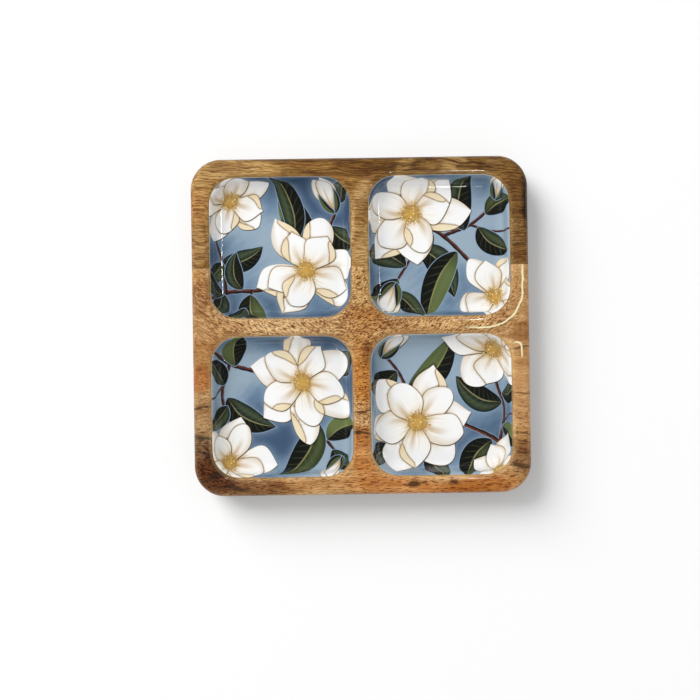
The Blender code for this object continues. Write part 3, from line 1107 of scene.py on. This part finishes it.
# The clear coats: a hard, glossy resin poured over each print and brushed up to its lip, where it
# thins out on the bare crest of the wood. It is fully clear and only shows by its gloss.
COAT_TOP = 0.0018
COAT_THICKNESS = 0.0008
COAT_FEATHER = 0.00003
COAT_FEATHER_DROP = 0.0012
COAT_END = radians(37)
COAT_FULL = radians(58)
GLOSS_FADE = (0.0212, 0.0234)


def coat_gap(angle):
    """The coat's top over the wood: next to nothing at its end, then the full depth."""
    share = min(max((angle - COAT_END) / (COAT_FULL - COAT_END), 0), 1)
    return COAT_FEATHER + (COAT_TOP - COAT_FEATHER) * (1 - (1 - share) ** 2) ** 0.9


def clear_resin():
    """Clear, with a hard gloss on its outer face that fades at its feathered end."""
    finish = new_finish("clear_resin_gloss")
    look_through = finish.add("BsdfTransparent", {0: (0.998, 0.998, 0.996, 1)})
    here = finish.here()
    ripple = finish.relief(0.35, 0.0006, finish.grain(here, (42, 42, 42), 1))
    gloss = {"Color": (1, 1, 1, 1), "Roughness": 0.06, "Normal": ripple}
    gloss = finish.add("BsdfGlossy", gloss)
    edge_on = finish.add("Fresnel", {"IOR": 1.5, "Normal": ripple})
    outer = finish.sum_of("SUBTRACT", 1, finish.add("NewGeometry", output="Backfacing"))
    fade = finish.ramp(finish.axis(here, 2), *GLOSS_FADE, 1, 0)
    outer = finish.times(outer, fade)
    share = finish.times(finish.sum_of("MINIMUM", edge_on, 0.09), outer)
    return finish.end_with(finish.add("MixShader", {0: share, 1: look_through, 2: gloss}))


coat_section = pocket_section(coat_gap, COAT_END, 14, 16)
coat_form = pocket_form("coat_form", coat_section)
coat_depth = coat_form.vertex_groups.new(name="coat_depth")
for point in coat_form.data.vertices:
    share = (coat_section[0][1] - point.co.z) / COAT_FEATHER_DROP
    coat_depth.add([point.index], min(max(share, 0.02), 1), "REPLACE")
apply_modifier(coat_form, "SOLIDIFY", thickness=COAT_THICKNESS, offset=-1, vertex_group="coat_depth")
bpy.ops.object.shade_smooth_by_angle(angle=radians(50))
coat_form.data.materials.append(clear_resin())
for pocket, place in POCKETS.items():
    coat = placed_copy(coat_form, "clear_coat_" + pocket, place)
    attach(coat, "root")
    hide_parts("resin_coat_" + pocket)
bpy.data.objects.remove(coat_form)


# The photographer's table: a plain white sheet with a lamp of its own for the tray's soft shadow,
# a very large soft lamp to the upper left and an even white room. The gloss shows the room white at
# its foot and dark overhead, with a soft sheen lamp over the wood and a few small window panes.
choose()
bpy.ops.mesh.primitive_plane_add(size=6, location=(0, 0, 0))
table = bpy.context.object
table.name = "white_table"
bpy.ops.object.transform_apply(location=True, rotation=True, scale=True)
paper = new_finish("white_paper")
sheen = paper.add("BsdfDiffuse", {"Color": (0.315, 0.315, 0.315, 1)})
light_path = paper.tree.nodes.new("ShaderNodeLightPath").outputs
watched = paper.sum_of("MAXIMUM", light_path["Is Camera Ray"], light_path["Is Glossy Ray"])
watched = paper.sum_of("MAXIMUM", watched, light_path["Is Transmission Ray"])
glow = {"Color": (1, 1, 1, 1), "Strength": paper.times(watched, 0.25)}
glow = paper.add("Emission", glow)
table.data.materials.append(paper.end_with(paper.add("AddShader", {0: sheen, 1: glow})))


def hung(name, lamp, place, aim=(0, 0, 0.02)):
    """A lamp at its place, facing a point."""
    fitting = new_object(name, lamp)
    fitting.location = place
    fitting.rotation_euler = (Vector(aim) - Vector(place)).to_track_quat("-Z", "Y").to_euler()
    return fitting


def softbox(name, place, wide, high, brightness):
    """A rectangular lamp, with the brightness of its face."""
    lamp = bpy.data.lights.new(name, "AREA")
    lamp.shape = "RECTANGLE"
    lamp.size, lamp.size_y, lamp.energy = wide, high, brightness * pi * wide * high
    return hung(name, lamp, place)


def shines_on(lamp, name, pieces):
    """The lamp lights these pieces alone."""
    lit = bpy.data.collections.new(name)
    for piece in pieces:
        lit.objects.link(piece)
    lamp.light_linking.receiver_collection = lit


SOFTBOX_PLACE = (-0.95, 0.85, 1.35)
SOFTBOX_SIDE = 1.5
softbox("upper_left_softbox", SOFTBOX_PLACE, SOFTBOX_SIDE, SOFTBOX_SIDE, 2.85).visible_glossy = False
boards = [rear_board, front_board]
coats = [bpy.data.objects["clear_coat_" + pocket] for pocket in POCKETS]
# lamps that show only in gloss: place, width, height, brightness, and the pieces that show each
for name, place, wide, high, brightness, pieces in (
    ("lacquer_sheen", SOFTBOX_PLACE, SOFTBOX_SIDE, SOFTBOX_SIDE, 1.9, boards),
    ("rear_pane", (0.212, 0.66, 0.99), 0.048, 0.14, 100, boards[1:]),
    ("front_pane", (0.204, -0.66, 0.99), 0.070, 0.12, 90, boards[:1]),
    ("right_pane", (0.72, 0.082, 0.96), 0.056, 0.16, 30, coats),
    ("right_pane_middle", (0.72, 0.133, 0.96), 0.046, 0.16, 30, coats[:1]),
    ("right_pane_front", (0.72, -0.245, 0.96), 0.026, 0.16, 30, coats),
    ("right_tall_pane", (0.72, 0.215, 0.66), 0.020, 0.70, 26, coats),
    ("front_high_pane", (0.170, -0.72, 0.96), 0.050, 0.16, 30, coats[1:2]),
    ("front_left_bar", (-1.30, -0.95, 0.96), 1.10, 0.20, 22, coats[2:3]),
):
    pane = softbox(name, place, wide, high, brightness)
    pane.visible_diffuse = False
    shines_on(pane, "lit_by_" + name, pieces)

shadow_lamp = bpy.data.lights.new("table_lamp", "SUN")
shadow_lamp.energy = 8.1
shadow_lamp.angle = radians(38)
shines_on(hung("table_lamp", shadow_lamp, (-1.13, 1.20, 1), (0, 0, 0)), "lit_by_table_lamp", [table])

room = Finish(bpy.data.worlds.new("white_room"))
light_path = room.tree.nodes.new("ShaderNodeLightPath").outputs
way_up = room.axis(room.add("TexCoord", output="Generated"), 2)
glossy = light_path["Is Glossy Ray"]
watched = room.sum_of("MAXIMUM", light_path["Is Camera Ray"], light_path["Is Transmission Ray"])
mirrored = room.times(glossy, room.ramp(way_up, 0.06, 0.26, 1, 0.04))
unseen = room.sum_of("SUBTRACT", 1, room.sum_of("MAXIMUM", watched, glossy))
strength = room.sum_of("MAXIMUM", mirrored, room.times(unseen, 0.72))
strength = room.sum_of("MAXIMUM", watched, strength)
backdrop = room.tree.nodes["Background"].inputs
room.tree.links.new(strength, backdrop["Strength"])
backdrop["Color"].default_value = (1, 1, 1, 1)
bpy.context.scene.world = room.owner
bpy.context.scene.view_settings.view_transform = "Standard"

# The camera hangs straight over the tray, turned by a degree as the tray lies in the picture.
CAMERA_OVER_TOP = 0.75
PICTURE_WIDE = 0.5205
PICTURE_UNDER_TOP = 0.005
FRAME_PIXELS = 700
TRAY_OFF_MIDDLE = (10.9, 24)
FILM_WIDE = 36
eye = bpy.data.cameras.new("overhead_camera")
eye.sensor_width = FILM_WIDE
eye.lens = FILM_WIDE * (CAMERA_OVER_TOP + PICTURE_UNDER_TOP) / PICTURE_WIDE
eye.shift_x = -TRAY_OFF_MIDDLE[0] / FRAME_PIXELS
eye.shift_y = -TRAY_OFF_MIDDLE[1] / FRAME_PIXELS
eye.clip_start = 0.01
camera = new_object("overhead_camera", eye)
camera.location = (0, 0, TRAY_HEIGHT + CAMERA_OVER_TOP)
camera.rotation_euler = (0, 0, radians(-0.85))
bpy.context.scene.camera = camera
